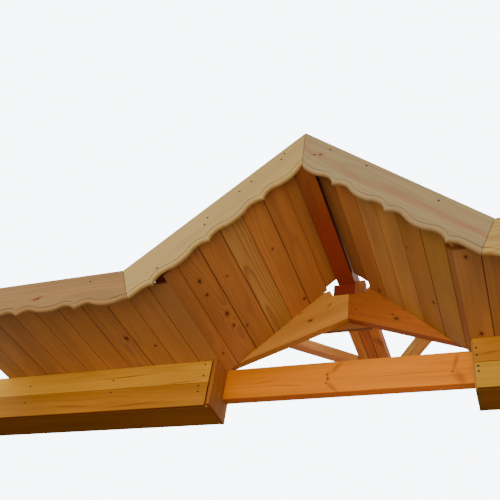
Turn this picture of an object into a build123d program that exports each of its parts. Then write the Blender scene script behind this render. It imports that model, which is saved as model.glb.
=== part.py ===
from build123d import *
import math
import os

os.makedirs("parts", exist_ok=True)

# The gable bay of a timber roof, in millimetres. X runs across the gable, Y runs from the
# bargeboards back into the roof, Z is up, and Z = 0 is the underside of the wall plates.

# Driving sizes of the roof
roof_pitch = 43.3
opening_half_width = 672
half_span = 860
overhang = 937
board_drop = 135
joint_gap = 0.6
arris = 2
cutting_allowance = 200

# Bargeboards and level fascias
facing_thickness = 21
scallop_pitch = 342
waist_offset = 62
cusp_depth = 201
waist_depth = 173
lobe_depth = 195
left_first_cusp = 436
right_first_cusp = 408
wing_first_cusp = 1080
rim_width = 22
groove_width = 4
groove_depth = 3
rim_steps = [(0, 11), (3, 6), (8, 2.8), (rim_width - groove_width, 1)]
bargeboard_gap = 2.5
mitre_gap = 2.5

# Tongued and grooved boards
board_thickness = 16
gable_boards = 7
left_first_board = 85
left_last_board = 83
right_first_board = 125
right_last_board = 36
wing_boards = 10
wing_first_board = 114
wing_cover = 146
v_chamfer = 2.5
tongue_length = 6
tongue_thickness = 5
eave_lap = 105
left_gable_setback = 45
left_eave_setback = 100
right_setback = 130

# Planks lying flat on the gable boards behind the bargeboards
verge_plank_width = 170
verge_plank_thickness = 45

# Ridge
ridge_width = 100
ridge_height = 120
ridge_gap_front = 1
left_ridge_gap_back = 2
right_ridge_gap_back = 8
left_ridge_board_trim = 25
right_ridge_board_trim = 65
ridge_show = 29.4
ridge_lap = 160
saddle_height = 80
side_block_height = 93
rear_ridge_length = 905
rear_ridge_width = 186
rear_ridge_offset = 18

# Truss
truss_thickness = 45
truss_offset = 17
chord_pitch = 21.25
chord_depth = 245
chord_throat = 173.3
chord_heel = 100
notch_half_width = 93
notch_splay = 25
tie_thickness = 55
tie_height = 190
tie_base = 110
cleat_thickness = 25
cleat_length = 290
cleat_height = 218

# Valley rafters
valley_width = 68
valley_height = 58
valley_lift = 150
valley_rise = 225
left_valley_foot = 417
left_valley_run = 672
right_valley_foot = 494
right_valley_run = 820

# Wall plates
plate_length = 1500
plate_board_height = 140
plate_board_thickness = 20
plate_depth = 215
end_board_thickness = 21
left_end_board_reach = 12
left_facing_setback = 14
right_facing_overlap = 12
plate_advance = 137

# Worked out from the sizes above
slope = math.radians(roof_pitch)
rise = math.tan(slope)
chord_fall = math.tan(math.radians(chord_pitch))
plate_height = 2 * plate_board_height
soffit_peak = plate_height + opening_half_width * rise
roof_peak = soffit_peak + board_drop / math.cos(slope)
eave_top = roof_peak - half_span * rise
ridge_base = soffit_peak - rise * ridge_width / 2 - ridge_show
notch_floor = ridge_base - saddle_height
chord_peak = notch_floor - chord_throat
slope_length = opening_half_width / math.cos(slope)
plate_start = opening_half_width + end_board_thickness + joint_gap
wing_reach = plate_start + plate_length

rear_end = overhang + truss_thickness + rear_ridge_length
front_face = -rear_end / 2
boards_front = front_face + facing_thickness + joint_gap / 2
truss_front = front_face + overhang
truss_back = truss_front + truss_thickness
plate_front = truss_front - plate_advance
plate_back = plate_front + plate_depth
facing_back = plate_front + plate_board_thickness

concave_radius = (waist_offset**2 + (cusp_depth - waist_depth) ** 2) / (2 * (cusp_depth - waist_depth))
arc_spread = scallop_pitch / 2 - waist_offset
arc_rise = waist_depth + concave_radius - lobe_depth
convex_radius = (arc_spread**2 + arc_rise**2 - concave_radius**2) / (2 * (concave_radius - arc_rise))


def save(builder, name):
    builder.part.label = name
    export_step(builder.part, "parts/" + name + ".step")


# A sketch plane that faces the front, turned to lie along one slope or level
def front_plane(y, origin_z, turn, side):
    return Plane(
        origin=(0, y, origin_z),
        x_dir=(math.cos(turn), 0, -side * math.sin(turn)),
        z_dir=(0, -1, 0),
    )


# Scalloped boards. Along one unit the edge dips to a waist, swells to a round lobe,
# dips again and ends in a pointed cusp. An inset moves the whole edge into the board.
def cusp_at(position, inset):
    drop = math.sqrt((concave_radius + inset) ** 2 - waist_offset**2)
    return (position, drop - waist_depth - concave_radius)


def waist_at(position, inset):
    return (position, inset - waist_depth)


def lobe_at(position, inset):
    return (position, inset - lobe_depth)


# The point where the concave and convex arcs run into each other
def meeting_at(waist, lobe, inset):
    share = (concave_radius + inset) / (concave_radius + convex_radius)
    across = waist + (lobe - waist) * share
    down = waist_depth + concave_radius - share * (arc_rise + convex_radius)
    return (across, -down)


# The point halfway round a concave arc, between its waist and a cusp or a meeting point
def concave_midpoint(waist, end, inset):
    centre = (waist, -waist_depth - concave_radius)
    start = waist_at(waist, inset)
    middle = ((start[0] + end[0]) / 2 - centre[0], (start[1] + end[1]) / 2 - centre[1])
    stretch = (concave_radius + inset) / math.hypot(*middle)
    return (centre[0] + middle[0] * stretch, centre[1] + middle[1] * stretch)


def flip(point, side):
    return (side * point[0], point[1])


# The face of a scalloped board, drawn too long by the cutting allowance at both ends
def scalloped_face(first_cusp, last_position, inset, side):
    start = -cutting_allowance
    stop = last_position + cutting_allowance
    first_waist = first_cusp - scallop_pitch + waist_offset
    count = int((last_position - first_cusp) // scallop_pitch)
    last_cusp = cusp_at(first_cusp + count * scallop_pitch, inset)
    last_waist = last_cusp[0] + waist_offset
    with BuildLine() as outline:
        Polyline(
            flip(waist_at(first_waist, inset), side),
            flip(waist_at(start, inset), side),
            (side * start, 0),
            (side * stop, 0),
            flip(waist_at(stop, inset), side),
            flip(waist_at(last_waist, inset), side),
        )
        for unit in range(count + 1):
            cusp = first_cusp + unit * scallop_pitch
            lobe = cusp - scallop_pitch / 2
            near_waist = cusp - scallop_pitch + waist_offset
            far_waist = cusp - waist_offset
            near_meeting = meeting_at(near_waist, lobe, inset)
            far_meeting = meeting_at(far_waist, lobe, inset)
            if unit == 0:
                entry = waist_at(near_waist, inset)
                entry_middle = concave_midpoint(near_waist, near_meeting, inset)
            else:
                entry = cusp_at(cusp - scallop_pitch, inset)
                entry_middle = waist_at(near_waist, inset)
            ThreePointArc(flip(entry, side), flip(entry_middle, side), flip(near_meeting, side))
            ThreePointArc(
                flip(near_meeting, side),
                flip(lobe_at(lobe, inset), side),
                flip(far_meeting, side),
            )
            ThreePointArc(
                flip(far_meeting, side),
                flip(waist_at(far_waist, inset), side),
                flip(cusp_at(cusp, inset), side),
            )
        ThreePointArc(
            flip(last_cusp, side),
            flip(concave_midpoint(last_waist, last_cusp, inset), side),
            flip(waist_at(last_waist, inset), side),
        )
    make_face(outline.line.edges())


# A board with a round-over rim and an incised line that follow the scallops. The depths
# are measured back from the board's face, and each cut keeps what its plane faces.
def make_scalloped_board(name, first_cusp, last_position, origin_z, turn, side, cuts):
    def at_depth(depth):
        return front_plane(front_face + depth, origin_z, turn, side)

    with BuildPart() as board:
        with BuildSketch(at_depth(facing_thickness)):
            scalloped_face(first_cusp, last_position, 0, side)
        extrude(amount=facing_thickness - rim_steps[0][1])
        for step in zip(rim_steps, rim_steps[1:]):
            for inset, depth in step:
                with BuildSketch(at_depth(depth)):
                    scalloped_face(first_cusp, last_position, inset, side)
            loft(ruled=True)
        with BuildSketch(at_depth(groove_depth)):
            scalloped_face(first_cusp, last_position, rim_steps[-1][0], side)
        extrude(amount=groove_depth, mode=Mode.SUBTRACT)
        with BuildSketch(at_depth(groove_depth)):
            scalloped_face(first_cusp, last_position, rim_width, side)
        extrude(amount=groove_depth)
        for cut in cuts:
            split(bisect_by=cut, keep=Keep.TOP)
    save(board, name)


# The mitre between a bargeboard and a level fascia halves the angle between them
def mitre_plane(side, offset, towards):
    half_turn = slope / 2
    return Plane(
        origin=(side * (half_span + offset), 0, eave_top),
        z_dir=(side * towards * math.cos(half_turn), 0, -towards * math.sin(half_turn)),
    )


def make_bargeboard(name, side, first_cusp):
    apex_cut = Plane(origin=(side * bargeboard_gap / 2, 0, 0), z_dir=(side, 0, 0))
    cuts = [apex_cut, mitre_plane(side, -mitre_gap / 2, -1)]
    length = half_span / math.cos(slope)
    make_scalloped_board(name, first_cusp, length, roof_peak, slope, side, cuts)


def make_fascia(name, side):
    end_cut = Plane(origin=(side * wing_reach, 0, 0), z_dir=(-side, 0, 0))
    cuts = [mitre_plane(side, mitre_gap / 2, 1), end_cut]
    make_scalloped_board(name, wing_first_cusp, wing_reach, eave_top, 0, side, cuts)


# Tongued and grooved boards. A profile lies with its show face on the local X axis and
# its thickness upwards. Its ends are a tongue, a groove or a plumb cut.
def board_profile(start, end, turn, first, last, side):
    lean = board_thickness * math.tan(turn)
    low = (board_thickness - tongue_thickness) / 2
    high = low + tongue_thickness
    fit = joint_gap / 2
    if first:
        points = [(start, 0), (start - lean, board_thickness)]
    else:
        depth = tongue_length + joint_gap
        points = [
            (start + v_chamfer, 0),
            (start + fit, v_chamfer),
            (start + fit, low - fit),
            (start + fit + depth, low - fit),
            (start + fit + depth, high + fit),
            (start + fit, high + fit),
            (start + fit, board_thickness),
        ]
    if last:
        points += [(end - lean, board_thickness), (end, 0)]
    else:
        points += [
            (end - fit, board_thickness),
            (end - fit, high),
            (end - fit + tongue_length, high),
            (end - fit + tongue_length, low),
            (end - fit, low),
            (end - fit, v_chamfer),
            (end - v_chamfer, 0),
        ]
    with BuildLine() as outline:
        Polyline(*[flip(point, side) for point in points], close=True)
    make_face(outline.line.edges())


# One board between two joint lines. The board beside the crease stops short in front.
def make_board(name, near, far, origin_z, turn, side, ends, front, back, cuts=()):
    with BuildPart() as board:
        with BuildSketch(front_plane(back, origin_z, turn, side)):
            board_profile(near, far, turn, ends[0], ends[1], side)
        extrude(amount=back - front)
        for cut in cuts:
            split(bisect_by=cut, keep=Keep.TOP)
    save(board, name)


# The line along which a board is ripped beside the ridge beam, its gap widening backwards
def ridge_rip(side, gap_back):
    lean = math.atan2(gap_back - ridge_gap_front, truss_front - boards_front)
    return Plane(
        origin=(side * (ridge_width / 2 + ridge_gap_front), boards_front, 0),
        z_dir=(side * math.cos(lean), -math.sin(lean), 0),
    )


# The board at the ridge is drawn its thickness too wide, ripped, and trimmed at the back
def make_gable_boards(name, side, first_width, last_width, setback, gap_back, ridge_trim):
    start = (ridge_width / 2 + ridge_gap_front) / math.cos(slope)
    cover = (slope_length - start - first_width - last_width) / (gable_boards - 2)
    joints = [start - board_thickness]
    joints += [start + first_width + cover * number for number in range(gable_boards - 1)]
    joints.append(slope_length)
    for number in range(gable_boards):
        ends = (number == 0, number == gable_boards - 1)
        cuts = [ridge_rip(side, gap_back)] * ends[0]
        front = boards_front + setback * ends[1]
        back = truss_front - joint_gap / 2 - ridge_trim * ends[0]
        make_board(
            name + "_" + str(number + 1),
            joints[number],
            joints[number + 1],
            soffit_peak,
            slope,
            side,
            ends,
            front,
            back,
            cuts,
        )


def make_eave_boards(name, side, setback):
    start = opening_half_width + joint_gap
    back = plate_front + eave_lap
    joints = [start]
    joints += [start + wing_first_board + wing_cover * number for number in range(wing_boards)]
    for number in range(wing_boards):
        ends = (number == 0, number == wing_boards - 1)
        front = boards_front + setback * ends[0]
        make_board(
            name + "_" + str(number + 1),
            joints[number],
            joints[number + 1],
            plate_height,
            0,
            side,
            ends,
            front,
            back,
        )


# A plank lies flat up the slope, plumb against the ridge beam, with a level seat at its
# foot on the eave boards
def make_verge_plank(name, side):
    bed = (board_thickness + joint_gap / 2) / math.cos(slope)
    plumb_thickness = verge_plank_thickness / math.cos(slope)
    head = ridge_width / 2 + ridge_gap_front + joint_gap
    seat_height = plate_height + board_thickness + joint_gap / 2
    seat_start = (soffit_peak + bed - seat_height) / rise
    seat_end = (soffit_peak + bed + plumb_thickness - seat_height) / rise
    points = [
        (head, soffit_peak + bed - head * rise),
        (seat_start, seat_height),
        (seat_end, seat_height),
        (head, soffit_peak + bed + plumb_thickness - head * rise),
    ]
    with BuildPart() as plank:
        with BuildSketch(front_plane(boards_front + verge_plank_width, 0, 0, side)):
            with BuildLine():
                Polyline(*[flip(point, side) for point in points], close=True)
            make_face()
        extrude(amount=verge_plank_width)
    save(plank, name)


# A squared timber between its low and high corners, with its long arrises eased
def make_timber(name, low, high, grain):
    size = [top - base for base, top in zip(low, high)]
    with BuildPart() as piece:
        with Locations(low):
            Box(*size, align=(Align.MIN, Align.MIN, Align.MIN))
        chamfer(edges().filter_by(grain), length=arris)
    save(piece, name)


# A top chord of even depth, drawn from the middle of the truss. It stands on the plate with
# a level seat, and at the peak its top edge drops into a splayed notch for the ridge pieces.
def make_top_chord(name, side):
    plumb_depth = chord_depth / math.cos(math.radians(chord_pitch))
    seat_start = (chord_peak - plate_height) / chord_fall
    heel = seat_start + chord_heel
    notch_mouth = notch_half_width + notch_splay
    middle = joint_gap / 2
    points = [
        (middle, chord_peak - middle * chord_fall),
        (seat_start, plate_height + joint_gap / 2),
        (heel, plate_height + joint_gap / 2),
        (heel, chord_peak + plumb_depth - heel * chord_fall),
        (notch_mouth, chord_peak + plumb_depth - notch_mouth * chord_fall),
        (notch_half_width, notch_floor),
        (middle, notch_floor),
    ]
    with BuildPart() as chord:
        with BuildSketch(front_plane(truss_back, 0, 0, side)):
            with BuildLine():
                Polyline(*[(truss_offset + side * point[0], point[1]) for point in points], close=True)
            make_face()
        extrude(amount=truss_thickness)
    save(chord, name)


# A valley rafter climbs from the back of a chord to the side of the ridge behind it,
# with plumb sides and an end cut to lie flat on each
def make_valley_rafter(name, side, valley_foot, valley_run):
    ridge_side = rear_ridge_offset + side * (rear_ridge_width + joint_gap) / 2
    run_across = side * ridge_side - valley_foot
    drawn_length = math.hypot(run_across, valley_run, valley_rise) + 2 * cutting_allowance
    foot_height = chord_peak - (valley_foot - side * truss_offset) * chord_fall + valley_lift
    foot = Vector(side * valley_foot, truss_back, foot_height)
    axis = Vector(side * run_across, valley_run, valley_rise).normalized()
    level = Vector(axis.Y, -axis.X, 0).normalized()
    with BuildPart() as rafter:
        section = Plane(origin=foot - axis * cutting_allowance, x_dir=level, z_dir=axis)
        with BuildSketch(section):
            Rectangle(valley_width, valley_height, align=(Align.CENTER, Align.MIN))
        extrude(amount=drawn_length)
        chamfer(edges().filter_by(Axis((0, 0, 0), tuple(axis))), length=arris)
        split(bisect_by=Plane(origin=(0, truss_back + joint_gap / 2, 0), z_dir=(0, 1, 0)), keep=Keep.TOP)
        split(bisect_by=Plane(origin=(ridge_side, 0, 0), z_dir=(side, 0, 0)), keep=Keep.TOP)
    save(rafter, name)


# One wall plate: a core with two facing boards on its front and an end board at the
# opening. The facing boards stop beside the end board, or run on across its front edge.
def make_wall_plate(side, word, facing_start, end_board_front):
    def along(near, far):
        return sorted((side * near, side * far))

    left, right = along(plate_start, wing_reach)
    make_timber(
        "wall_plate_" + word,
        (left, facing_back + joint_gap / 2, 0),
        (right, plate_back, plate_height),
        Axis.X,
    )
    left, right = along(facing_start, wing_reach)
    for level, place in enumerate(("lower", "upper")):
        make_timber(
            "plate_board_" + place + "_" + word,
            (left, plate_front, level * (plate_board_height + joint_gap / 2)),
            (right, facing_back, (level + 1) * plate_board_height - (1 - level) * joint_gap / 2),
            Axis.X,
        )
    left, right = along(opening_half_width + joint_gap / 2, plate_start - joint_gap / 2)
    make_timber(
        "plate_end_board_" + word,
        (left, end_board_front, 0),
        (right, plate_back, plate_height - joint_gap / 2),
        Axis.Z,
    )


for side, word in ((-1, "left"), (1, "right")):
    make_fascia("eave_fascia_" + word, side)
    make_top_chord("top_chord_" + word, side)

make_eave_boards("eave_board_left", -1, left_eave_setback)
make_eave_boards("eave_board_right", 1, right_setback)
make_valley_rafter("valley_rafter_left", -1, left_valley_foot, left_valley_run)
make_valley_rafter("valley_rafter_right", 1, right_valley_foot, right_valley_run)
make_wall_plate(-1, "left", plate_start + left_facing_setback, plate_front - left_end_board_reach)
make_wall_plate(1, "right", plate_start - right_facing_overlap, facing_back + joint_gap / 2)

make_bargeboard("bargeboard_left", -1, left_first_cusp)
make_bargeboard("bargeboard_right", 1, right_first_cusp)
make_gable_boards(
    "gable_board_left",
    -1,
    left_first_board,
    left_last_board,
    left_gable_setback,
    left_ridge_gap_back,
    left_ridge_board_trim,
)
make_gable_boards(
    "gable_board_right",
    1,
    right_first_board,
    right_last_board,
    right_setback,
    right_ridge_gap_back,
    right_ridge_board_trim,
)
make_verge_plank("verge_plank_left", -1)
make_verge_plank("verge_plank_right", 1)

# Ridge beam over the truss, carried by a saddle and packed at one side
make_timber(
    "ridge_beam",
    (-ridge_width / 2, boards_front, ridge_base + joint_gap / 2),
    (ridge_width / 2, truss_front + ridge_lap, ridge_base + ridge_height),
    Axis.Y,
)
make_timber(
    "ridge_saddle",
    (truss_offset - notch_half_width + joint_gap / 2, truss_front, notch_floor + joint_gap / 2),
    (ridge_width / 2, truss_back, ridge_base),
    Axis.X,
)
make_timber(
    "ridge_side_block",
    (ridge_width / 2 + joint_gap, truss_front, notch_floor + joint_gap / 2),
    (truss_offset + notch_half_width - joint_gap / 2, truss_back, notch_floor + side_block_height),
    Axis.Z,
)

# Three timbers side by side carry the ridge on behind the truss
ply_width = rear_ridge_width / 3
for number, word in enumerate(("left", "middle", "right")):
    ply_left = rear_ridge_offset - rear_ridge_width / 2 + number * ply_width
    make_timber(
        "rear_ridge_" + word,
        (ply_left + joint_gap / 2, truss_back + joint_gap / 2, notch_floor + joint_gap / 2),
        (ply_left + ply_width - joint_gap / 2, -front_face, ridge_base),
        Axis.Y,
    )

# Tie beam between the end boards of the two plates
tie_reach = opening_half_width - joint_gap / 2
make_timber(
    "tie_beam",
    (-tie_reach, truss_front, tie_base),
    (tie_reach, truss_front + tie_thickness, tie_base + tie_height),
    Axis.X,
)

# Cleat across the back of the two chords where they meet
make_timber(
    "peak_cleat",
    (-cleat_length / 2, truss_back + joint_gap / 2, notch_floor - cleat_height),
    (cleat_length / 2, truss_back + cleat_thickness, notch_floor),
    Axis.X,
)
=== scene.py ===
import bpy
import math
from mathutils import Matrix, Vector


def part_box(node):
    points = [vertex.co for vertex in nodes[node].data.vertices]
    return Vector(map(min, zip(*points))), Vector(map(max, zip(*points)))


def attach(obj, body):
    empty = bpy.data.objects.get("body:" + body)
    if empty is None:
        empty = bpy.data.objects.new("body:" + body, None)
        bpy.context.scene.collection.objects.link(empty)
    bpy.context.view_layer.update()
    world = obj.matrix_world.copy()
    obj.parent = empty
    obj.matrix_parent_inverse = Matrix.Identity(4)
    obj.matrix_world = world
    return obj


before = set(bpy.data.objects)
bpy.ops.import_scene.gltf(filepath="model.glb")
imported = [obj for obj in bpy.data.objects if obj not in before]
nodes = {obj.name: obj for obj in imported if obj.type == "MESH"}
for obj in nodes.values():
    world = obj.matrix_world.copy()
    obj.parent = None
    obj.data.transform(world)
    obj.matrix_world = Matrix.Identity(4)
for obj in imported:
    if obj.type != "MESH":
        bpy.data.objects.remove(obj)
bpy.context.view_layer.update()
print("frame loaded:", len(nodes), "pieces")

mm = 0.001  # in metres, which is what Blender measures in


# sRGB hex to the linear values that shaders take
def linearColour(hexCode):
    parts = [int(hexCode[i:i + 2], 16) / 255 for i in (1, 3, 5)]
    linear = [p / 12.92 if p <= 0.04045 else ((p + 0.055) / 1.055) ** 2.4 for p in parts]
    return (*linear, 1.0)


# Settings are the node's own options. Inputs are its sockets, by name or number, and each is
# given a value or another node's output.
# A Mix node takes its colours at 6 and 7 and gives its result at 2.
def addNode(tree, kind, settings=None, inputs=None):
    node = tree.nodes.new(kind)
    for key, value in (settings or {}).items():
        setattr(node, key, value)
    for key, source in (inputs or {}).items():
        if isinstance(source, bpy.types.NodeSocket):
            tree.links.new(source, node.inputs[key])
        else:
            node.inputs[key].default_value = source
    return node


# A new material with an empty tree
def addMaterial(name):
    material = bpy.data.materials.new(name)
    material.use_nodes = True
    material.node_tree.nodes.clear()
    return material, material.node_tree


# The columns run along the grain, across the board and out of its show face
def turnedFrame(grain, face):
    along = Vector(grain).normalized()
    out = (Vector(face) - along * Vector(face).dot(along)).normalized()
    return Matrix((along, out.cross(along), out)).transposed()


# Bare pine, sawn or planed: pale earlywood with darker latewood lines, streaks along the
# grain, dark knots that the rings flow round, and a dull surface. Widths are millimetres, and
# so is the wander, which bends the rings. Contrasts, ranges and tones are shares, 1 for as it
# is. End light tones are for the near and the far end of a board, and paint light and shade
# along it. The rest of the colours come with the kinds of wood below and with the pieces.
basePine = {
    "knot": "#331204", "branch": "#7A3A08", "tone": 1.0, "toneRange": 0.08,
    "endLightTones": (1.0, 1.0), "ringWidth": 13, "ringContrast": 0.7, "wander": 90,
    "streakWidth": 7, "streakContrast": 0.45, "bandWidth": 45, "bandContrast": 0.12,
    "seams": (0.8, 0.8), "roughness": 0.66, "heart": None, "shadeFade": None,
    "knots": (), "branches": (),
}

# Edge is the painted light and shade on faces that turn away from the show face
# Bargeboards and fascias are planed and bleached by the weather, with faint rings
bargeboardPine = dict(basePine, pale="#947F4E", dark="#83673C", streak="#7C6138", edge="#F8E8CC",
                      ringWidth=16, ringContrast=0.45, streakWidth=9, streakContrast=0.3,
                      bandContrast=0.05, toneRange=0.05, seams=(0.95, 1.0))
fasciaPine = dict(bargeboardPine, pale="#7E623A", dark="#6B4D29", streak="#664523", edge="#FFF2DC",
                  ringContrast=0.6, streakContrast=0.45, bandContrast=0.09)

# Soffit boards are planed and amber. Their end light tones paint light and shade: paler toward the
# wall, darker toward the front
gablePine = dict(basePine, pale="#9A6430", dark="#7D4E28", streak="#724425", edge="#E4C4A4",
                 ringContrast=0.55, streakWidth=9, streakContrast=0.22, bandWidth=60,
                 bandContrast=0.13, toneRange=0.12, seams=(0.9, 0.9), endLightTones=(0.9, 1.2))
wingPine = dict(basePine, pale="#9F703D", dark="#805A3D", streak="#74503D", edge="#E4C4A4",
                ringContrast=0.5, streakWidth=9, streakContrast=0.22, bandWidth=60,
                bandContrast=0.13, toneRange=0.12, seams=(0.9, 0.9), endLightTones=(0.9, 1.2))

# The truss, the rafters and the wall plates are sawn, and the tie beam is the palest and most orange
framePine = dict(basePine, dark="#8C4A0C", streak="#7C3E08", edge="#E8D0A8")
platePine = dict(framePine, streak="#A9771F", ringContrast=0.5, streakContrast=0.3,
                 seams=(0.7, 0.9))
tiePine = dict(framePine, pale="#CA7900", dark="#AE6200", streak="#9E5000", ringContrast=0.4,
               streakContrast=0.35, edge="#F8E080", branch="#9A4E10", wander=60)

# Some timbers of the ridge and one verge plank are darker and red-brown
darkTimber = dict(basePine, streak="#5D2D1B", edge="#C09080", ringContrast=0.4, toneRange=0.12)

slopeAngle = math.radians(43.3)  # of the gable
chordAngle = math.radians(21.25)  # of the truss's lower edges, which its grain follows

# Which way the grain runs, and which way the face that shows looks
grains = {
    "level": (1, 0, 0), "inwards": (0, 1, 0), "upright": (0, 0, 1),
    "slope_left": (math.cos(slopeAngle), 0, math.sin(slopeAngle)),
    "slope_right": (math.cos(slopeAngle), 0, -math.sin(slopeAngle)),
    "chord_left": (math.cos(chordAngle), 0, math.sin(chordAngle)),
    "chord_right": (math.cos(chordAngle), 0, -math.sin(chordAngle)),
    "valley_left": (0.45, 0.86, 0.29), "valley_right": (-0.42, 0.88, 0.24),
}
faces = {
    "front": (0, -1, 0), "down": (0, 0, -1), "right": (1, 0, 0), "left": (-1, 0, 0),
    "soffit_left": (math.sin(slopeAngle), 0, -math.cos(slopeAngle)),
    "soffit_right": (-math.sin(slopeAngle), 0, -math.cos(slopeAngle)),
}

# The faces that the knots and branch marks lie on, from the frame
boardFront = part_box("bargeboard_left")[0].y / mm
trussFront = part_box("tie_beam")[0].y / mm
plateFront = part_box("plate_board_upper_left")[0].y / mm
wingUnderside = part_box("eave_board_left_1")[0].z / mm
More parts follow.
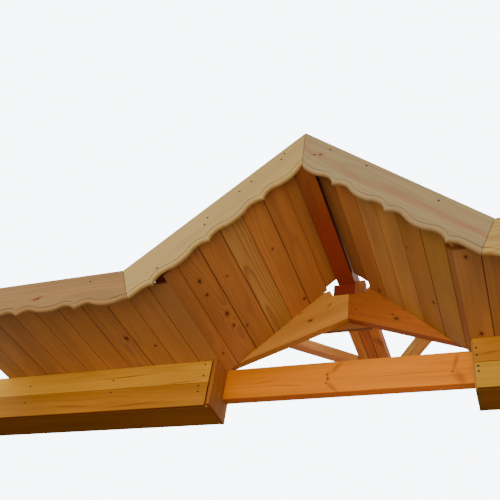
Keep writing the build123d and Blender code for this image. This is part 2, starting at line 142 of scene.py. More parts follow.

# Each piece has its wood, grain, show face and whatever sets it apart. Knots and branches are
# x, y, z, length and width in millimetres, and lean in degrees. A heart is x, y, z, width,
# colour and strength, and a shade fade is two points, the colour at the second and its
# strength; it paints shade along a timber.
# Seams paint light and shade, with the dark of the joints, on the two long edges, the lower
# or left one first.
pieces = {
    "bargeboard_left": (bargeboardPine, "slope_left", "front", {
        "branch": "#8E744C",
        "branches": [(-456, boardFront, 480, 14, 3, 12), (-440, boardFront, 505, 10, 3, -10),
                     (-215, boardFront, 760, 16, 3, 14), (-330, boardFront, 640, 12, 3, 10)]}),
    "bargeboard_right": (bargeboardPine, "slope_right", "front", {
        "pale": "#7E6E4D", "dark": "#6B573E", "streak": "#644C32", "bandContrast": 0.1,
        "knots": [(93, boardFront, 898, 10, 7, 0), (60, boardFront, 905, 14, 5, 30)],
        "heart": (485, boardFront, 502, 26, "#7A5238", 0.75)}),
    "eave_fascia_left": (fasciaPine, "level", "front", {
        "knots": [(-1318, boardFront, 178, 20, 7, 20), (-1337, boardFront, 172, 12, 6, -15)],
        "branches": [(-1306, boardFront, 184, 30, 9, 25)],
        "heart": (-1250, boardFront, 205, 20, "#7E5434", 0.5)}),
    "eave_fascia_right": (fasciaPine, "level", "front", {
        "pale": "#947C45", "knots": [(1480, boardFront, 190, 16, 8, 10)]}),

    # Tones are partly the boards' own and partly painted shade: board 1 by the ridge is darker where
    # shade falls
    "gable_board_left_1": (gablePine, "inwards", "soffit_left", {"tone": 0.94, "seams": (1.2, 0.72)}),
    "gable_board_left_2": (gablePine, "inwards", "soffit_left", {"tone": 1.06, "seams": (0.56, 1.2)}),
    "gable_board_left_3": (gablePine, "inwards", "soffit_left", {
        "tone": 1.14, "seams": (1.04, 0.48), "pithDepth": 55,
        "knots": [(-226, -81, 700, 12, 8, 0), (-262, -560, 670, 8, 5, 0)]}),
    "gable_board_left_4": (gablePine, "inwards", "soffit_left", {
        "tone": 1.08, "pale": "#976F38", "seams": (0.4, 1.04), "pithDepth": 48, "ringContrast": 0.9}),
    "gable_board_left_5": (gablePine, "inwards", "soffit_left", {
        "tone": 1.02, "seams": (0.48, 0.4), "bandContrast": 0.2,
        "knots": [(-496, -215, 446, 9, 7, 0), (-470, -610, 470, 7, 5, 0)]}),
    "gable_board_left_6": (gablePine, "inwards", "soffit_left", {
        "tone": 1.01, "seams": (1.12, 0.48), "pithDepth": 50, "ringContrast": 0.85,
        "knots": [(-571, -699, 375, 16, 10, 0), (-574, -592, 373, 12, 8, 0),
                  (-544, -390, 400, 17, 11, 0), (-544, -284, 401, 13, 8, 0)]}),
    "gable_board_left_7": (gablePine, "inwards", "soffit_left", {
        "tone": 1.02, "seams": (0.72, 1.12), "knots": [(-640, -160, 310, 8, 6, 0)]}),

    # Board 1 by the ridge is darkest, with painted shade beside the ridge beam
    "gable_board_right_1": (gablePine, "inwards", "soffit_right", {
        "tone": 0.61, "seams": (0.72, 1.28), "knots": [(110, -350, 812, 7, 5, 0)]}),
    "gable_board_right_2": (gablePine, "inwards", "soffit_right", {
        "tone": 0.90, "seams": (1.28, 0.88), "knots": [(205, -53, 720, 14, 10, 0)]}),
    "gable_board_right_3": (gablePine, "inwards", "soffit_right", {
        "tone": 0.98, "pale": "#916835", "seams": (0.88, 1.28), "bandContrast": 0.2}),
    "gable_board_right_4": (gablePine, "inwards", "soffit_right", {
        "tone": 1.0, "pale": "#976D34", "seams": (1.28, 1.12), "bandContrast": 0.2}),
    "gable_board_right_5": (gablePine, "inwards", "soffit_right", {
        "tone": 0.94, "pale": "#865C23", "seams": (1.12, 0.4), "bandContrast": 0.2,
        "knots": [(523, -273, 420, 13, 9, 0), (454, -629, 485, 9, 7, 0)]}),
    "gable_board_right_6": (gablePine, "inwards", "soffit_right", {
        "tone": 0.95, "pale": "#866122", "seams": (0.4, 0.72), "bandContrast": 0.2}),
    "gable_board_right_7": (gablePine, "inwards", "soffit_right", {"tone": 0.69}),

    "eave_board_left_1": (wingPine, "inwards", "down", {"tone": 1.05, "seams": (0.48, 0.72)}),
    "eave_board_left_2": (wingPine, "inwards", "down", {"tone": 1.18, "seams": (0.88, 0.48)}),
    "eave_board_left_3": (wingPine, "inwards", "down", {
        "tone": 1.12, "seams": (0.48, 0.88), "knots": [(-976, -329, wingUnderside, 9, 6, 0)]}),
    "eave_board_left_4": (wingPine, "inwards", "down", {
        "tone": 1.07, "seams": (0.72, 0.48), "pithDepth": 45, "ringContrast": 0.9,
        "knots": [(-1113, -418, wingUnderside, 18, 12, 0)]}),
    "eave_board_left_5": (wingPine, "inwards", "down", {"tone": 1.31, "seams": (0.48, 0.72)}),
    "eave_board_left_6": (wingPine, "inwards", "down", {"tone": 1.27, "seams": (0.72, 0.48)}),
    "eave_board_left_7": (wingPine, "inwards", "down", {"tone": 1.21, "seams": (0.88, 0.72)}),
    "eave_board_left_8": (wingPine, "inwards", "down", {
        "tone": 1.05, "seams": (0.48, 0.88), "knots": [(-1690, -90, wingUnderside, 12, 8, 0)]}),
    "eave_board_left_9": (wingPine, "inwards", "down", {"tone": 0.97, "seams": (0.88, 0.48)}),
    "eave_board_left_10": (wingPine, "inwards", "down", {"tone": 0.89}),

    "eave_board_right_1": (wingPine, "inwards", "down", {
        "tone": 1.08, "seams": (0.72, 0.4),
        "knots": [(729, -172, wingUnderside, 14, 9, 0), (722, -741, wingUnderside, 11, 8, 0)]}),
    "eave_board_right_2": (wingPine, "inwards", "down", {"tone": 0.86, "seams": (0.4, 0.88)}),
    "eave_board_right_3": (wingPine, "inwards", "down", {
        "tone": 1.0, "seams": (0.88, 0.56), "knots": [(1010, -520, wingUnderside, 12, 8, 0)]}),
    "eave_board_right_4": (wingPine, "inwards", "down", {"tone": 0.95, "seams": (0.56, 0.72)}),
    "eave_board_right_5": (wingPine, "inwards", "down", {
        "tone": 1.03, "seams": (0.72, 0.48), "knots": [(1290, -260, wingUnderside, 14, 9, 0)]}),
    "eave_board_right_6": (wingPine, "inwards", "down", {"tone": 0.97, "seams": (0.48, 0.72)}),
    "eave_board_right_7": (wingPine, "inwards", "down", {"tone": 1.0, "seams": (0.72, 0.88)}),
    "eave_board_right_8": (wingPine, "inwards", "down", {
        "tone": 0.94, "seams": (0.88, 0.48), "knots": [(1730, -610, wingUnderside, 10, 7, 0)]}),
    "eave_board_right_9": (wingPine, "inwards", "down", {"tone": 1.02, "seams": (0.48, 0.72)}),
    "eave_board_right_10": (wingPine, "inwards", "down", {"tone": 0.98}),

    "verge_plank_left": (darkTimber, "slope_left", "soffit_left", {
        "pale": "#8C4428", "dark": "#70301C"}),
    "verge_plank_right": (framePine, "slope_right", "soffit_right", {
        "pale": "#A06A3C", "dark": "#84502A"}),
    # The ridge beam's shade fade paints shade: darker red toward the back, lighter at the lit front
    "ridge_beam": (darkTimber, "inwards", "down", {
        "pale": "#7A4418", "dark": "#683612", "bandContrast": 0.16,
        "shadeFade": ((0, -880, 0), (0, -400, 0), "#7C280A", 0.85)}),
    "ridge_saddle": (darkTimber, "level", "front", {"pale": "#772208", "dark": "#5D1605"}),
    "ridge_side_block": (framePine, "upright", "front", {"pale": "#8A5027", "dark": "#69381B"}),
    "rear_ridge_left": (framePine, "inwards", "down", {"pale": "#B46E2A", "dark": "#935624"}),
    "rear_ridge_middle": (darkTimber, "inwards", "down", {"pale": "#9E4F04", "dark": "#7D3C04"}),
    "rear_ridge_right": (framePine, "inwards", "down", {
        "pale": "#B06415", "dark": "#864715", "branches": [(95, 500, 757, 90, 30, 30)]}),

    "top_chord_left": (framePine, "chord_left", "front", {
        "pale": "#BB8338", "dark": "#A56A2B", "streak": "#8D5625", "seams": (0.9, 0.8),
        "ringContrast": 0.5,
        "knots": [(-203, trussFront, 594, 15, 8, 0), (-540, trussFront, 470, 10, 6, 0)],
        "branches": [(-262, trussFront, 652, 22, 5, 20), (-95, trussFront, 690, 26, 6, 25)]}),
    "top_chord_right": (framePine, "chord_right", "front", {
        "pale": "#945213", "dark": "#7C4213", "streak": "#6C3213", "seams": (0.95, 0.9),
        "ringContrast": 0.55,
        "knots": [(290, trussFront, 547, 17, 10, 0), (269, trussFront, 577, 9, 6, 0),
                  (60, trussFront, 640, 7, 5, 0)],
        "branches": [(355, trussFront, 540, 40, 5, 5), (116, trussFront, 696, 22, 5, -10),
                     (41, trussFront, 663, 26, 6, 0), (220, trussFront, 690, 30, 6, 0)]}),
    "tie_beam": (tiePine, "level", "front", {
        "knots": [(-82, trussFront, 222, 9, 5, 30), (-78, trussFront, 194, 9, 6, -20),
                  (-85, trussFront, 168, 7, 5, 0), (565, trussFront, 186, 8, 5, 0)],
        "branches": [(-30, trussFront, 264, 62, 17, 46), (-80, trussFront, 205, 44, 7, 88),
                     (-54, trussFront, 142, 54, 15, -46), (584, trussFront, 240, 62, 14, 74),
                     (600, trussFront, 146, 60, 30, -58), (330, trussFront, 190, 330, 3, 1),
                     (-420, trussFront, 205, 90, 3, 8), (-300, trussFront, 170, 120, 3, -4)]}),
    "peak_cleat": (framePine, "level", "front", {"pale": "#784C23"}),
    # The edge tint paints shade on the lower faces of the valley rafters
    "valley_rafter_left": (framePine, "valley_left", "right", {
        "pale": "#EDAC61", "dark": "#CB8643", "edge": "#C8A480", "seams": (1.0, 1.0)}),
    "valley_rafter_right": (framePine, "valley_right", "left", {
        "pale": "#EDC557", "dark": "#CD9C3D", "edge": "#C8A480", "seams": (1.0, 1.0)}),

    "wall_plate_left": (platePine, "level", "front", {"pale": "#C0904A", "dark": "#A47434"}),
    "wall_plate_right": (platePine, "level", "front", {"pale": "#C0904A", "dark": "#A47434"}),
    "plate_board_lower_left": (platePine, "level", "front", {
        "pale": "#A4701A", "dark": "#8E5A09", "streak": "#7F4F07",
        "branches": [(-1150, plateFront, 30, 200, 5, 3), (-1560, plateFront, 46, 140, 5, -3)]}),
    "plate_board_upper_left": (platePine, "level", "front", {
        "pale": "#C8962D", "dark": "#B07C15", "streak": "#9F6C0E",
        "branches": [(-880, plateFront, 150, 120, 4, 3), (-1240, plateFront, 215, 160, 4, 2)]}),
    "plate_board_lower_right": (platePine, "level", "front", {"pale": "#A27C1C", "dark": "#876118"}),
    "plate_board_upper_right": (platePine, "level", "front", {
        "pale": "#9F6A0E", "dark": "#895605", "streak": "#7A4B05",
        "knots": [(1080, plateFront, 215, 14, 9, 0)], "branches": [(760, plateFront, 190, 60, 6, 8)]}),
    "plate_end_board_left": (framePine, "upright", "right", {
        "pale": "#AB7538", "dark": "#895731", "streak": "#764831", "edge": "#FFE8C8"}),
    "plate_end_board_right": (framePine, "upright", "left", {"pale": "#A9965D", "dark": "#88703E"}),
}


# What all the pine has in common, in millimetres and shares. A patch is its length along the
# grain and its width across it. A name that ends in At gives where on the noise, or on how far
# a face is turned, a change starts and ends.
woodPattern = {
    "seedStep": 0.61, "noiseShift": (3.7, 1.3, 2.1),  # so that no two boards have the same noise
    "pithNearest": 45, "pithDepths": 80, "pithAsides": 90, "pithSteps": (53, 37),
    "trunkBend": (556, 143), "slowTone": (455, 200), "bandLength": 625, "patchAt": (0.3, 0.7),
    "ringStops": ((0.12, 0.0), (0.5, 0.12), (0.86, 1.0)), "ringJoin": 0.25,  # place, darkness
    "ringFading": (714, 83.3), "faintRings": 0.3,
    "streakLength": 227, "streakAt": (0.42, 0.75),
    "heartPatch": (143, 8.33), "heartAt": (0.4, 0.62), "heartFaint": 0.1, "heartEdge": (0.1, 1.2),
    "endReach": 400,  # from the middle of a board to where its end tone is full
    "raggedSize": 14.3, "raggedBy": 8, "markDepth": 3,  # a mark goes 3 of its widths deep
    # a mark is solid up to the first share of its oval, gone at the second, and this strong
    "knot": (0.4, 1.1, 0.9), "halo": (0.8, 2.2, 0.5), "branch": (0.1, 1.3, 0.8),
    "swellReach": 5.0, "swellHeight": 1.2,  # in lengths and widths of the knot
    "edgeAt": (0.75, 0.97), "seamAt": (-0.3, 0.3),
    "latewoodSheen": 0.12, "streakRelief": 0.5, "bumpStrength": 0.35, "bumpHeight": 0.6,
    "ior": 1.5, "specularLevel": 0.25,
}


# Noise drawn out along the grain
def patchyNoise(tree, look, local, length, width, detail, roughness=0.5):
    shift = [look["seed"] * step for step in woodPattern["noiseShift"]]
    place = addNode(tree, "ShaderNodeVectorMath", {"operation": "MULTIPLY_ADD"},
                    {0: local, 1: (500 / length, 500 / width, 500 / width), 2: shift})
    return addNode(tree, "ShaderNodeTexNoise", {"noise_dimensions": "3D"},
                   {"Vector": place.outputs[0], "Scale": 1.0, "Detail": detail,
                    "Roughness": roughness}).outputs


# The trunk was never quite straight or round, so the rings wander off their circles
def bendTrunk(tree, look, local):
    bend = patchyNoise(tree, look, local, *woodPattern["trunkBend"], 2.0)["Color"]
    centred = addNode(tree, "ShaderNodeVectorMath", {"operation": "SUBTRACT"},
                      {0: bend, 1: (0.5, 0.5, 0.5)}).outputs[0]
    amount = look["wander"] * mm
    wander = addNode(tree, "ShaderNodeVectorMath", {"operation": "MULTIPLY"},
                     {0: centred, 1: (0, amount, amount)}).outputs[0]
    return addNode(tree, "ShaderNodeVectorMath", {"operation": "ADD"},
                   {0: local, 1: wander}).outputs[0]


# Knots and branch marks are ovals on the board with a ragged outline. A knot has a halo, and
# the rings swell round it.
def markKnots(tree, look, axes, pith, local, radius):
    ragged = addNode(tree, "ShaderNodeTexNoise", None,
                     {"Vector": local, "Scale": 1000 / woodPattern["raggedSize"], "Detail": 2.0})
    depth = woodPattern["raggedBy"] * mm
    offset = addNode(tree, "ShaderNodeVectorMath", {"operation": "MULTIPLY_ADD"},
                     {0: ragged.outputs["Color"], 1: (depth, depth, 0),
                      2: (-depth / 2, -depth / 2, 0)})
    place = addNode(tree, "ShaderNodeVectorMath", {"operation": "ADD"},
                    {0: local, 1: offset.outputs[0]}).outputs[0]

    def ovalMark(mark, start, end, most):
        x, y, z, length, width, lean = mark
        spot = axes.transposed() @ (Vector((x, y, z)) * mm - pith)
        size = Vector((length, width, width * woodPattern["markDepth"])) * mm
        oval = addNode(tree, "ShaderNodeMapping", {"vector_type": "TEXTURE"},
                       {"Vector": place, "Location": spot, "Scale": size,
                        "Rotation": (0, 0, math.radians(lean))}).outputs[0]
        away = addNode(tree, "ShaderNodeVectorMath", {"operation": "LENGTH"}, {0: oval})
        return addNode(tree, "ShaderNodeMapRange", {"interpolation_type": "SMOOTHSTEP"},
                       {0: away.outputs["Value"], 1: start, 2: end, 3: most, 4: 0.0}).outputs[0]

    knotMask, branchMask = 0.0, 0.0
    for knot in look["knots"]:
        knotMask = addNode(tree, "ShaderNodeMath", {"operation": "MAXIMUM"},
                           {0: knotMask, 1: ovalMark(knot, *woodPattern["knot"])}).outputs[0]
        branchMask = addNode(tree, "ShaderNodeMath", {"operation": "MAXIMUM"},
                             {0: branchMask, 1: ovalMark(knot, *woodPattern["halo"])}).outputs[0]
        height = knot[4] * woodPattern["swellHeight"] * mm
        swell = ovalMark(knot, 0.0, woodPattern["swellReach"], height)
        radius = addNode(tree, "ShaderNodeMath", {"operation": "ADD"},
                         {0: radius, 1: swell}).outputs[0]
    for branch in look["branches"]:
        branchMask = addNode(tree, "ShaderNodeMath", {"operation": "MAXIMUM"},
                             {0: branchMask, 1: ovalMark(branch, *woodPattern["branch"])}).outputs[0]
    return radius, knotMask, branchMask


# Each ring changes slowly to latewood, then has a sharp edge back to pale wood
def growRings(tree, look, local, radius):
    count = addNode(tree, "ShaderNodeMath", {"operation": "DIVIDE"},
                    {0: radius, 1: look["ringWidth"] * mm}).outputs[0]
    phase = addNode(tree, "ShaderNodeMath", {"operation": "FRACT"}, {0: count}).outputs[0]
    rings = addNode(tree, "ShaderNodeValToRGB", None, {0: phase})
    ramp = rings.color_ramp
    ramp.interpolation = "EASE"
    for end in ramp.elements[:]:
        end.color = (*[woodPattern["ringJoin"]] * 3, 1)
    for position, level in woodPattern["ringStops"]:
        ramp.elements.new(position).color = (level, level, level, 1)
    fading = patchyNoise(tree, look, local, *woodPattern["ringFading"], 1.0)["Fac"]
    low, high = woodPattern["patchAt"]
    most = look["ringContrast"]
    strength = addNode(tree, "ShaderNodeMapRange", None,
                       {0: fading, 1: low, 2: high, 3: most * woodPattern["faintRings"],
                        4: most}).outputs[0]
    return addNode(tree, "ShaderNodeMath", {"operation": "MULTIPLY"},
                   {0: rings.outputs["Color"], 1: strength}).outputs[0]


# Darker heartwood in patches along a line down some boards
def addHeart(tree, look, axes, pith, local, bent, wood):
    x, y, z, width, colour, depth = look["heart"]
    spot = axes.transposed() @ (Vector((x, y, z)) * mm - pith)
    endless = 1000
    line = addNode(tree, "ShaderNodeMapping", {"vector_type": "TEXTURE"},
                   {"Vector": bent, "Location": (0, spot.y, spot.z),
                    "Scale": (endless, width * mm, endless)}).outputs[0]
    away = addNode(tree, "ShaderNodeVectorMath", {"operation": "LENGTH"}, {0: line})
    start, end = woodPattern["heartEdge"]
    nearness = addNode(tree, "ShaderNodeMapRange", {"interpolation_type": "SMOOTHSTEP"},
                       {0: away.outputs["Value"], 1: start, 2: end, 3: 1.0, 4: 0.0}).outputs[0]
    patchy = patchyNoise(tree, look, local, *woodPattern["heartPatch"], 2.0)["Fac"]
    low, high = woodPattern["heartAt"]
    patches = addNode(tree, "ShaderNodeMapRange", None,
                      {0: patchy, 1: low, 2: high, 3: woodPattern["heartFaint"], 4: depth}).outputs[0]
    heart = addNode(tree, "ShaderNodeMath", {"operation": "MULTIPLY"}, {0: patches, 1: nearness})
    return addNode(tree, "ShaderNodeMix", {"data_type": "RGBA"},
                   {0: heart.outputs[0], 6: wood, 7: linearColour(colour)}).outputs[2]


# Broad bands along the grain, slow changes of tone, and soffit boards painted lighter toward
# the wall and darker toward the front, painted light and shade
def varyTone(tree, look, local, wood):
    low, high = woodPattern["patchAt"]
    bands = patchyNoise(tree, look, local, woodPattern["bandLength"], look["bandWidth"], 1.0)["Fac"]
    bandTone = addNode(tree, "ShaderNodeMapRange", None,
                       {0: bands, 1: low, 2: high, 3: 1 - look["bandContrast"],
                        4: 1 + look["bandContrast"]}).outputs[0]
    slow = patchyNoise(tree, look, local, *woodPattern["slowTone"], 2.0)["Fac"]
    slowTone = addNode(tree, "ShaderNodeMapRange", None,
                       {0: slow, 1: low, 2: high, 3: look["tone"] * (1 - look["toneRange"]),
                        4: look["tone"] * (1 + look["toneRange"])}).outputs[0]
    # the end light tone paints light and shade along the board
    lengthwise = addNode(tree, "ShaderNodeSeparateXYZ", None, {0: local}).outputs["X"]
    reach = woodPattern["endReach"] * mm
    endLightTone = addNode(tree, "ShaderNodeMapRange", None,
                      {0: lengthwise, 1: -reach, 2: reach, 3: look["endLightTones"][0],
                       4: look["endLightTones"][1]}).outputs[0]
    tone = 1.0
    for part in (bandTone, slowTone, endLightTone):
        tone = addNode(tree, "ShaderNodeMath", {"operation": "MULTIPLY"},
                       {0: tone, 1: part}).outputs[0]
    return addNode(tree, "ShaderNodeVectorMath", {"operation": "SCALE"},
                   {0: wood, "Scale": tone}).outputs[0]


# Painted shade: some timbers darken along their length from a lit front toward the back, from one
# point to another
def paintShadeFade(tree, look, place, wood):
    start, end, colour, most = look["shadeFade"]
    run = (Vector(end) - Vector(start)) * mm
    step = run / run.length_squared
    reach = addNode(tree, "ShaderNodeVectorMath", {"operation": "DOT_PRODUCT"},
                    {0: place, 1: step}).outputs["Value"]
    offset = Vector(start).dot(step) * mm
    share = addNode(tree, "ShaderNodeMapRange", {"interpolation_type": "SMOOTHSTEP"},
                    {0: reach, 1: offset, 2: offset + 1, 3: 0.0, 4: most}).outputs[0]
    return addNode(tree, "ShaderNodeMix", {"data_type": "RGBA"},
                   {0: share, 6: wood, 7: linearColour(colour)}).outputs[2]


# Painted light and shade: edges and sides that turn away from the show face get a tint by the
# way they face, darker along some joints
def shadeTurnedFaces(tree, look, axes, wood):
    normal = addNode(tree, "ShaderNodeNewGeometry").outputs["Normal"]
    facing = addNode(tree, "ShaderNodeVectorMath", {"operation": "DOT_PRODUCT"},
                     {0: normal, 1: axes.col[2]}).outputs["Value"]
    flatness = addNode(tree, "ShaderNodeMath", {"operation": "ABSOLUTE"}, {0: facing}).outputs[0]
    low, high = woodPattern["edgeAt"]
    turned = addNode(tree, "ShaderNodeMapRange", None,
                     {0: flatness, 1: low, 2: high, 3: 1.0, 4: 0.0}).outputs[0]
    sideways = addNode(tree, "ShaderNodeVectorMath", {"operation": "DOT_PRODUCT"},
                       {0: normal, 1: axes.col[1]}).outputs["Value"]
    low, high = woodPattern["seamAt"]
    seam = addNode(tree, "ShaderNodeMapRange", None,
                   {0: sideways, 1: low, 2: high, 3: look["seams"][0],
                    4: look["seams"][1]}).outputs[0]
    # the edge colour, scaled by the seam, is painted shade and light on the turned faces
    edge = addNode(tree, "ShaderNodeVectorMath", {"operation": "SCALE"},
                   {0: linearColour(look["edge"])[:3], "Scale": seam}).outputs[0]
    turnedShade = addNode(tree, "ShaderNodeMix", {"data_type": "RGBA"},
                   {0: turned, 6: (1.0, 1.0, 1.0, 1.0), 7: edge}).outputs[2]
    return addNode(tree, "ShaderNodeVectorMath", {"operation": "MULTIPLY"},
                   {0: wood, 1: turnedShade}).outputs[0]


def makePine(name, look, grain, face, centre):
    material, tree = addMaterial(name)
    axes = turnedFrame(grain, face)
    pith = Vector(centre) + axes @ Vector((0, look["pithAside"], -look["pithDepth"])) * mm
    place = addNode(tree, "ShaderNodeTexCoord").outputs["Object"]
    local = addNode(tree, "ShaderNodeMapping", {"vector_type": "TEXTURE"},
                    {"Vector": place, "Location": pith, "Rotation": axes.to_euler()}).outputs[0]
    bent = bendTrunk(tree, look, local)
    flat = addNode(tree, "ShaderNodeVectorMath", {"operation": "MULTIPLY"}, {0: bent, 1: (0, 1, 1)})
    radius = addNode(tree, "ShaderNodeVectorMath", {"operation": "LENGTH"},
                     {0: flat.outputs[0]}).outputs["Value"]
    radius, knotMask, branchMask = markKnots(tree, look, axes, pith, local, radius)
    latewood = growRings(tree, look, local, radius)
    fine = patchyNoise(tree, look, local, woodPattern["streakLength"], look["streakWidth"], 3.0, 0.6)
    low, high = woodPattern["streakAt"]
    streaks = addNode(tree, "ShaderNodeMapRange", None,
                      {0: fine["Fac"], 1: low, 2: high, 3: 0.0, 4: look["streakContrast"]}).outputs[0]
    wood = linearColour(look["pale"])
    for share, colour in ((latewood, "dark"), (streaks, "streak")):
        wood = addNode(tree, "ShaderNodeMix", {"data_type": "RGBA"},
                       {0: share, 6: wood, 7: linearColour(look[colour])}).outputs[2]
    if look["heart"]:
        wood = addHeart(tree, look, axes, pith, local, bent, wood)
    wood = varyTone(tree, look, local, wood)
    if look["shadeFade"]:
        wood = paintShadeFade(tree, look, place, wood)
    wood = shadeTurnedFaces(tree, look, axes, wood)
    for share, colour in ((branchMask, "branch"), (knotMask, "knot")):
        wood = addNode(tree, "ShaderNodeMix", {"data_type": "RGBA"},
                       {0: share, 6: wood, 7: linearColour(look[colour])}).outputs[2]

    # the latewood is a little smoother and stands proud
    smoother = look["roughness"] - woodPattern["latewoodSheen"]
    rough = addNode(tree, "ShaderNodeMapRange", None,
                    {0: latewood, 1: 0.0, 2: 1.0, 3: look["roughness"], 4: smoother}).outputs[0]
    relief = addNode(tree, "ShaderNodeMath", {"operation": "MULTIPLY_ADD"},
                     {0: fine["Fac"], 1: woodPattern["streakRelief"], 2: latewood}).outputs[0]
    bump = addNode(tree, "ShaderNodeBump", None,
                   {"Height": relief, "Strength": woodPattern["bumpStrength"],
                    "Distance": woodPattern["bumpHeight"] * mm}).outputs[0]
    shader = addNode(tree, "ShaderNodeBsdfPrincipled", None,
                     {"Base Color": wood, "Roughness": rough, "Normal": bump,
                      "IOR": woodPattern["ior"],
                      "Specular IOR Level": woodPattern["specularLevel"]})
    addNode(tree, "ShaderNodeOutputMaterial", None, {"Surface": shader.outputs[0]})
    return material


# Each piece is cut from another tree. Its seed is its own, and so is the place of the pith,
# behind the show face and to one side.
for number, name in enumerate(sorted(nodes)):
    family, grain, face, own = pieces[name]
    depthStep, asideStep = woodPattern["pithSteps"]
    depths, asides = woodPattern["pithDepths"], woodPattern["pithAsides"]
    look = dict(family, seed=number * woodPattern["seedStep"] + 1,
                pithDepth=woodPattern["pithNearest"] + number * depthStep % depths,
                pithAside=number * asideStep % asides - asides / 2)
    look.update(own)
    low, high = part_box(name)
    pine = makePine("pine_" + name, look, grains[grain], faces[face], (low + high) / 2)
    piece = nodes[name]
    if not piece.material_slots:
        piece.data.materials.append(pine)
    for materialSlot in piece.material_slots:
        materialSlot.material = pine
print("pine on", len(nodes), "pieces")


# Round wire nails whose heads stand a little proud of the boards. Sizes are millimetres, and
# places are x and z on the front of a piece.
nails = {
    "headDiameter": 12,
    "rimDiameter": 9.12,  # of the flat on top
    "headHeight": 1.2,
    "sides": 12,
    "rustBlotch": 3.33,
    "places": {
        "bargeboard_left": [(-102, 960), (-114, 916), (-260, 785), (-316, 724), (-463, 570),
                            (-471, 523), (-671, 273)],
        "bargeboard_right": [(143, 923), (328, 752), (646, 440)],
        "plate_board_upper_left": [(-746, 256), (-744, 184), (-1319, 199), (-1903, 203)],
        "plate_board_lower_left": [(-762, 122), (-760, 85), (-1315, 119), (-1900, 90)],
        "plate_board_upper_right": [(695, 220), (695, 180), (1319, 199), (1903, 203)],
        "plate_board_lower_right": [(697, 117), (697, 89), (1315, 119), (1900, 90)],
        "eave_fascia_left": [(-1032, 245), (-1660, 225), (-2090, 240)],
        "eave_fascia_right": [(1032, 245), (1660, 225), (2090, 240)],
    },
}


# Rusted steel, dark red-brown, matt and blotchy
def makeRust():
    material, tree = addMaterial("rusted_steel")
    place = addNode(tree, "ShaderNodeTexCoord").outputs["Object"]
    blotch = addNode(tree, "ShaderNodeTexNoise", None,
                     {"Vector": place, "Scale": 1000 / nails["rustBlotch"], "Detail": 3.0})
    colour = addNode(tree, "ShaderNodeMix", {"data_type": "RGBA"},
                     {0: blotch.outputs["Fac"], 6: linearColour("#1A0C06"),
                      7: linearColour("#4A2614")}).outputs[2]
    shader = addNode(tree, "ShaderNodeBsdfPrincipled", None,
                     {"Base Color": colour, "Roughness": 0.8})
    addNode(tree, "ShaderNodeOutputMaterial", None, {"Surface": shader.outputs[0]})
    return material


# A low cone with its top cut off on every point, turned to face the front
def makeNailTree():
    tree = bpy.data.node_groups.new("nail heads", "GeometryNodeTree")
    sockets = tree.interface
    sockets.new_socket("Geometry", in_out="INPUT", socket_type="NodeSocketGeometry")
    for label in ("Head diameter", "Rim diameter", "Head height"):
        sockets.new_socket(label, in_out="INPUT", socket_type="NodeSocketFloat")
    sockets.new_socket("Sides", in_out="INPUT", socket_type="NodeSocketInt")
    sockets.new_socket("Geometry", in_out="OUTPUT", socket_type="NodeSocketGeometry")
    given = addNode(tree, "NodeGroupInput").outputs
    radii = [addNode(tree, "ShaderNodeMath", {"operation": "MULTIPLY"},
                     {0: given[label], 1: 0.5}).outputs[0]
             for label in ("Head diameter", "Rim diameter")]
    head = addNode(tree, "GeometryNodeMeshCone", None,
                   {"Vertices": given["Sides"], "Side Segments": 2, "Radius Bottom": radii[0],
                    "Radius Top": radii[1], "Depth": given["Head height"]}).outputs["Mesh"]
    turned = addNode(tree, "GeometryNodeTransform", None,
                     {"Geometry": head, "Rotation": (math.pi / 2, 0, 0)}).outputs[0]
    placed = addNode(tree, "GeometryNodeInstanceOnPoints", None,
                     {"Points": given["Geometry"], "Instance": turned}).outputs[0]
    real = addNode(tree, "GeometryNodeRealizeInstances", None, {"Geometry": placed}).outputs[0]
    done = addNode(tree, "GeometryNodeSetMaterial", None,
                   {"Geometry": real, "Material": makeRust()}).outputs[0]
    addNode(tree, "NodeGroupOutput", None, {"Geometry": done})
    return tree


def makeNails():
    points = []
    for name, spots in nails["places"].items():
        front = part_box(name)[0].y
        points += [(x * mm, front, z * mm) for x, z in spots]
    mesh = bpy.data.meshes.new("nail points")
    mesh.from_pydata(points, [], [])
    source = bpy.data.objects.new("nail points", mesh)
    bpy.context.scene.collection.objects.link(source)
    modifier = source.modifiers.new("nails", "NODES")
    modifier.node_group = makeNailTree()
    given = {"Head diameter": nails["headDiameter"] * mm, "Rim diameter": nails["rimDiameter"] * mm,
             "Head height": nails["headHeight"] * mm, "Sides": nails["sides"]}
    for item in modifier.node_group.interface.items_tree:
        if item.in_out == "INPUT" and item.name in given:
            modifier[item.identifier] = given[item.name]
    evaluated = source.evaluated_get(bpy.context.evaluated_depsgraph_get())
    heads = bpy.data.objects.new("nail_heads", bpy.data.meshes.new_from_object(evaluated))
    bpy.context.scene.collection.objects.link(heads)
    bpy.data.objects.remove(source)
    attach(heads, "root")
    print("nails:", len(points))


makeNails()

# Lengths from here on are metres
stage = {
    "floorSize": 30, "floorHeight": -0.001, "floorColour": "#D9D4CA", "floorRoughness": 0.8,
    "backdropReach": 40, "backdropColour": "#EEF4FB", "backdropGlow": 9.0,
    "skyColour": "#F2F5FA", "skyStrength": 0.75,
}


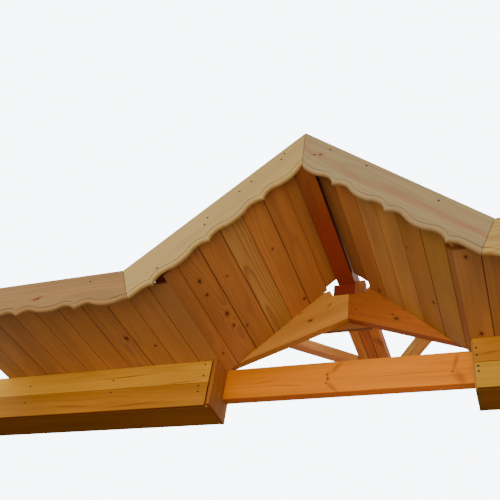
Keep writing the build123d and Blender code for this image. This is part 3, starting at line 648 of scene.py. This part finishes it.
# Painted concrete, pale and matt. It shows from above only, because the camera is below it.
def makeFloor():
    material, tree = addMaterial("pale_floor")
    shader = addNode(tree, "ShaderNodeBsdfPrincipled", None,
                     {"Base Color": linearColour(stage["floorColour"]),
                      "Roughness": stage["floorRoughness"]})
    clear = addNode(tree, "ShaderNodeBsdfTransparent")
    underside = addNode(tree, "ShaderNodeNewGeometry").outputs["Backfacing"]
    oneSided = addNode(tree, "ShaderNodeMixShader", None,
                       {0: underside, 1: shader.outputs[0], 2: clear.outputs[0]})
    addNode(tree, "ShaderNodeOutputMaterial", None, {"Surface": oneSided.outputs[0]})
    half = stage["floorSize"] / 2
    mesh = bpy.data.meshes.new("floor")
    mesh.from_pydata([(x * half, y * half, stage["floorHeight"])
                      for x, y in ((-1, -1), (1, -1), (1, 1), (-1, 1))], [], [(0, 1, 2, 3)])
    mesh.materials.append(material)
    floor = bpy.data.objects.new("floor", mesh)
    bpy.context.scene.collection.objects.link(floor)
    floor.visible_shadow = False


# A bright white backdrop all round. Only the camera sees it, so it lights nothing.
def makeBackdrop():
    material, tree = addMaterial("white_backdrop")
    glow = addNode(tree, "ShaderNodeEmission", None,
                   {"Color": linearColour(stage["backdropColour"]),
                    "Strength": stage["backdropGlow"]})
    addNode(tree, "ShaderNodeOutputMaterial", None, {"Surface": glow.outputs[0]})
    ends = (-stage["backdropReach"], stage["backdropReach"])
    corners = [(x, y, z) for x in ends for y in ends for z in ends]
    mesh = bpy.data.meshes.new("backdrop")
    mesh.from_pydata(corners, [], [(0, 1, 3, 2), (4, 6, 7, 5), (0, 4, 5, 1), (2, 3, 7, 6),
                                   (0, 2, 6, 4), (1, 5, 7, 3)])
    mesh.materials.append(material)
    backdrop = bpy.data.objects.new("backdrop", mesh)
    bpy.context.scene.collection.objects.link(backdrop)
    for rays in ("diffuse", "glossy", "transmission", "volume_scatter", "shadow"):
        setattr(backdrop, "visible_" + rays, False)


# Soft square lamps. The one below stands for the light that comes up from the ground.
lights = {
    "key": {"place": (-2.5, -6.5, 0.8), "aim": (0, -0.5, 0.5), "size": 4.0, "power": 330,
            "colour": "#FFF8F0"},
    "below": {"place": (0.4, -4.6, -2.0), "aim": (0, -0.1, 0.4), "size": 3.5, "power": 230,
              "colour": "#FFEBD2"},
    "sun": {"place": (4.5, 3.5, 6.0), "aim": (0, 0.2, 0.6), "size": 1.6, "power": 480,
            "colour": "#FFE0B8"},
}


def makeLights():
    for name, settings in lights.items():
        lamp = bpy.data.lights.new(name, "AREA")
        lamp.shape = "SQUARE"
        lamp.size = settings["size"]
        lamp.energy = settings["power"]
        lamp.color = linearColour(settings["colour"])[:3]
        holder = bpy.data.objects.new(name, lamp)
        bpy.context.scene.collection.objects.link(holder)
        holder.location = settings["place"]
        aim = Vector(settings["aim"]) - Vector(settings["place"])
        holder.rotation_euler = aim.to_track_quat("-Z", "Y").to_euler()
    world = bpy.data.worlds.new("studio")
    world.use_nodes = True
    background = world.node_tree.nodes["Background"]
    background.inputs["Color"].default_value = linearColour(stage["skyColour"])
    background.inputs["Strength"].default_value = stage["skyStrength"]
    bpy.context.scene.world = world


# Fitted to the photograph's straight edges. Its place is in metres, and its lens and sensor
# are in millimetres.
camera = {
    "place": (0.8412, -3.0434, -1.7630),
    "right": (0.9334, 0.3340, 0.1311),
    "up": (0.1329, -0.6612, 0.7384),
    "lens": 49.29,
    "sensor": 36,
    "nearAndFar": (0.05, 200),
}


def makeCamera():
    lens = bpy.data.cameras.new("camera")
    lens.lens = camera["lens"]
    lens.sensor_width = camera["sensor"]
    lens.clip_start, lens.clip_end = camera["nearAndFar"]
    right = Vector(camera["right"]).normalized()
    up = Vector(camera["up"])
    up = (up - right * up.dot(right)).normalized()
    turn = Matrix((right, up, right.cross(up))).transposed().to_4x4()
    holder = bpy.data.objects.new("camera", lens)
    holder.matrix_world = Matrix.Translation(camera["place"]) @ turn
    bpy.context.scene.collection.objects.link(holder)
    bpy.context.scene.camera = holder


makeFloor()
makeBackdrop()
makeLights()
makeCamera()
print("floor, backdrop, light and camera in place")
